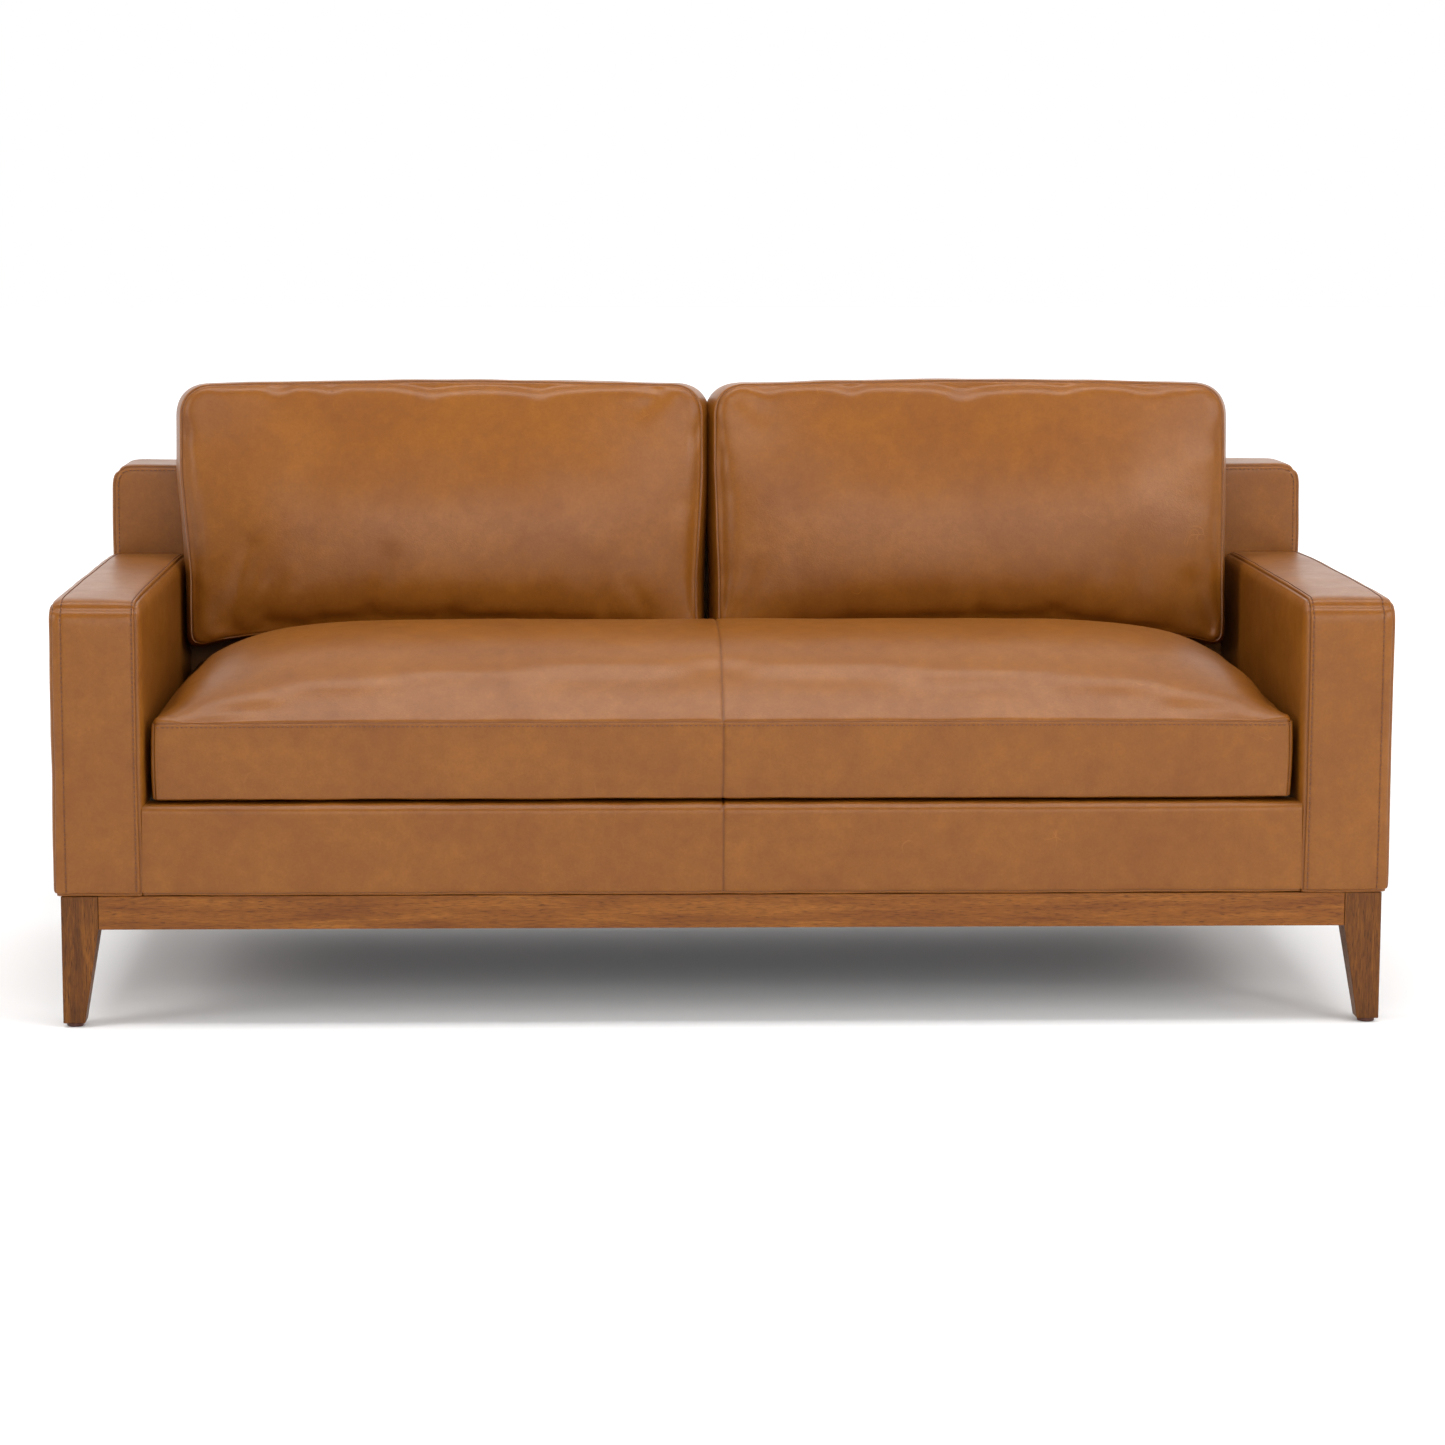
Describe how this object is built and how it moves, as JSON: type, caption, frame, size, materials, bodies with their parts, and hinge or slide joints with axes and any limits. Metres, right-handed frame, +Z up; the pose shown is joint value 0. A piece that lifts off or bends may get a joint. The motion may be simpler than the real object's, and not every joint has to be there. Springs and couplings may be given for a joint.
{
  "type": "sofa with wooden legs",
  "caption": "Leather sofa with loose back and seat cushions, narrow track arms and a low back on a hardwood plinth with tapered legs.",
  "frame": {"origin": "on the floor under the middle of the sofa, at the centre of the footprint of its overall box", "axes": "+X to the right of someone facing the sofa, +Y towards its back, +Z up"},
  "size_m": [1.96, 0.88, 0.9124],
  "materials": {
    "leather": "satin",
    "hardwood": "satin",
    "frame_timber": "matte",
    "steel": "satin",
    "foam": "matte",
    "deck_cloth": "matte",
    "dust_cloth": "matte",
    "zip_tape": "matte",
    "zip_metal": "satin",
    "glide_plastic": "matte"
  },
  "bodies": {
    "frame": {"front_left_leg": "hardwood", "front_left_glide": "glide_plastic", "front_left_corner_block": "frame_timber", "front_left_leg_bolt": "steel", "front_right_leg": "hardwood", "front_right_glide": "glide_plastic", "front_right_corner_block": "frame_timber", "front_right_leg_bolt": "steel", "rear_right_leg": "hardwood", "rear_right_glide": "glide_plastic", "rear_right_corner_block": "frame_timber", "rear_right_leg_bolt": "steel", "rear_left_leg": "hardwood", "rear_left_glide": "glide_plastic", "rear_left_corner_block": "frame_timber", "rear_left_leg_bolt": "steel", "front_base_rail": "hardwood", "rear_base_rail": "hardwood", "left_base_rail": "hardwood", "right_base_rail": "hardwood", "front_seat_rail": "frame_timber", "rear_seat_rail": "frame_timber", "left_seat_rail": "frame_timber", "right_seat_rail": "frame_timber", "centre_seat_rail": "frame_timber", "spring_1": "steel", "spring_2": "steel", "spring_3": "steel", "spring_4": "steel", "spring_5": "steel", "spring_6": "steel", "front_spring_clips": "steel", "rear_spring_clips": "steel", "deck_pad": "deck_cloth", "dust_cover": "dust_cloth", "apron_cover": "leather", "left_arm_front_post": "frame_timber", "left_arm_rear_post": "frame_timber", "left_arm_top_rail": "frame_timber", "left_arm_cover": "leather", "right_arm_front_post": "frame_timber", "right_arm_rear_post": "frame_timber", "right_arm_top_rail": "frame_timber", "right_arm_cover": "leather", "back_left_post": "frame_timber", "back_right_post": "frame_timber", "back_top_rail": "frame_timber", "back_cover": "leather"},
    "seat_cushion": {"seat_cushion_cover": "leather", "seat_cushion_core": "foam", "seat_cushion_zip": "zip_tape"},
    "seat_cushion_zip_pull": {"seat_cushion_zip_slider": "zip_metal"},
    "left_back_cushion": {"left_back_cushion_cover": "leather", "left_back_cushion_core": "foam", "left_back_cushion_zip": "zip_tape"},
    "left_back_cushion_zip_pull": {"left_back_cushion_zip_slider": "zip_metal"},
    "right_back_cushion": {"right_back_cushion_cover": "leather", "right_back_cushion_core": "foam", "right_back_cushion_zip": "zip_tape"},
    "right_back_cushion_zip_pull": {"right_back_cushion_zip_slider": "zip_metal"}
  },
  "joints": [
    {"name": "seat_cushion_pull_out", "type": "slide", "parent": "frame", "child": "seat_cushion", "axis": [0, -1, 0], "range_m": [0, 0.75]},
    {"name": "left_back_cushion_lift", "type": "slide", "parent": "frame", "child": "left_back_cushion", "axis": [0, 0, 1], "range_m": [0, 0.45]},
    {"name": "right_back_cushion_lift", "type": "slide", "parent": "frame", "child": "right_back_cushion", "axis": [0, 0, 1], "range_m": [0, 0.45]},
    {"name": "seat_cushion_zip_run", "type": "slide", "parent": "seat_cushion", "child": "seat_cushion_zip_pull", "axis": [1, 0, 0], "range_m": [0, 1.148]},
    {"name": "left_back_cushion_zip_run", "type": "slide", "parent": "left_back_cushion", "child": "left_back_cushion_zip_pull", "axis": [1, 0, 0], "range_m": [0, 0.549]},
    {"name": "right_back_cushion_zip_run", "type": "slide", "parent": "right_back_cushion", "child": "right_back_cushion_zip_pull", "axis": [1, 0, 0], "range_m": [0, 0.549]}
  ]
}
